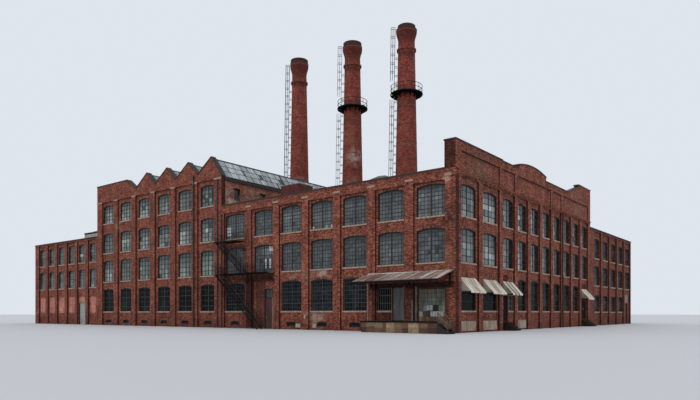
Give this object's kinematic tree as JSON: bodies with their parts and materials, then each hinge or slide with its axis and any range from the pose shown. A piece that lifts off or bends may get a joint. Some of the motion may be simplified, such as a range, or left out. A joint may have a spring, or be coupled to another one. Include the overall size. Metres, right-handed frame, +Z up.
{
  "type": "factory building, 1:10 scale model",
  "caption": "Brick factory at one tenth scale: sawtooth block, tall street parapet, low wings, dock, fire escape and three round stacks.",
  "frame": {"origin": "centre of the whole building's plan, at ground level", "axes": "+Z up, the long front faces -Y, the side street faces +X"},
  "size_m": [7.733, 6.046, 4.15],
  "materials": {
    "brick": "weathered red brick",
    "stone": "pale limestone",
    "coping": "dark weathered coping",
    "floor": "concrete",
    "roofing": "dark felt and gravel",
    "glass": "dusty window glass",
    "iron": "dark painted iron",
    "sheet_metal": "rusted sheet metal",
    "cloth": "cream canvas",
    "timber": "painted boards"
  },
  "bodies": {
    "building": {"front_wall_ground": "brick", "front_wall_upper": "brick", "door_heads": "brick", "side_wall_ground": "brick", "side_wall_upper": "brick", "side_parapet": "brick", "saw_front_wall": "brick", "saw_gables": "brick", "saw_rear_wall": "brick", "saw_west_wall": "brick", "party_wall": "brick", "wing_front_wall": "brick", "wing_infills": "brick", "wing_back_walls": "brick", "court_walls": "brick", "side_end_wall": "brick", "rear_wing_street_wall": "brick", "rear_wing_back_walls": "brick", "stacks": "brick", "stone_trim": "stone", "window_sills": "stone", "side_stoops": "stone", "base_panels": "stone", "copings": "coping", "ground_floor": "floor", "upper_floors": "floor", "loading_dock": "floor", "flat_roofs": "roofing", "saw_roof_slopes": "roofing", "street_glazing": "glass", "court_glazing": "glass", "saw_roof_lights": "glass", "stack_galleries": "iron", "stack_ladders": "iron", "ladder_cages": "iron", "escape_landings": "iron", "escape_stringers": "iron", "escape_treads": "iron", "handrails": "iron", "canopy_frame": "iron", "downpipes": "iron", "saw_ridges": "iron", "dock_canopy": "sheet_metal", "roof_houses": "sheet_metal", "awnings": "cloth", "dock_steps": "timber", "closed_bays": "timber"},
    "dock_door": {"dock_door": "timber"},
    "escape_door": {"escape_door": "timber"},
    "side_door": {"side_door": "timber"},
    "pair_door_near": {"pair_door_near": "timber"},
    "pair_door_far": {"pair_door_far": "timber"}
  },
  "joints": [
    {"name": "dock_door_hinge", "type": "hinge", "parent": "building", "child": "dock_door", "pos_m": [3.2237, -2.737, 0.25], "axis": [0, 0, 1], "range_deg": [0, 90]},
    {"name": "escape_door_hinge", "type": "hinge", "parent": "building", "child": "escape_door", "pos_m": [1.5677, -2.737, 0.165], "axis": [0, 0, 1], "range_deg": [0, 90]},
    {"name": "side_door_hinge", "type": "hinge", "parent": "building", "child": "side_door", "pos_m": [3.7285, -1.6718, 0.22], "axis": [0, 0, 1], "range_deg": [0, 90]},
    {"name": "pair_door_near_hinge", "type": "hinge", "parent": "building", "child": "pair_door_near", "pos_m": [3.7285, 0.5848, 0.21], "axis": [0, 0, -1], "range_deg": [0, 90]},
    {"name": "pair_door_far_hinge", "type": "hinge", "parent": "building", "child": "pair_door_far", "pos_m": [3.7285, 0.7792, 0.21], "axis": [0, 0, 1], "range_deg": [0, 90]}
  ]
}
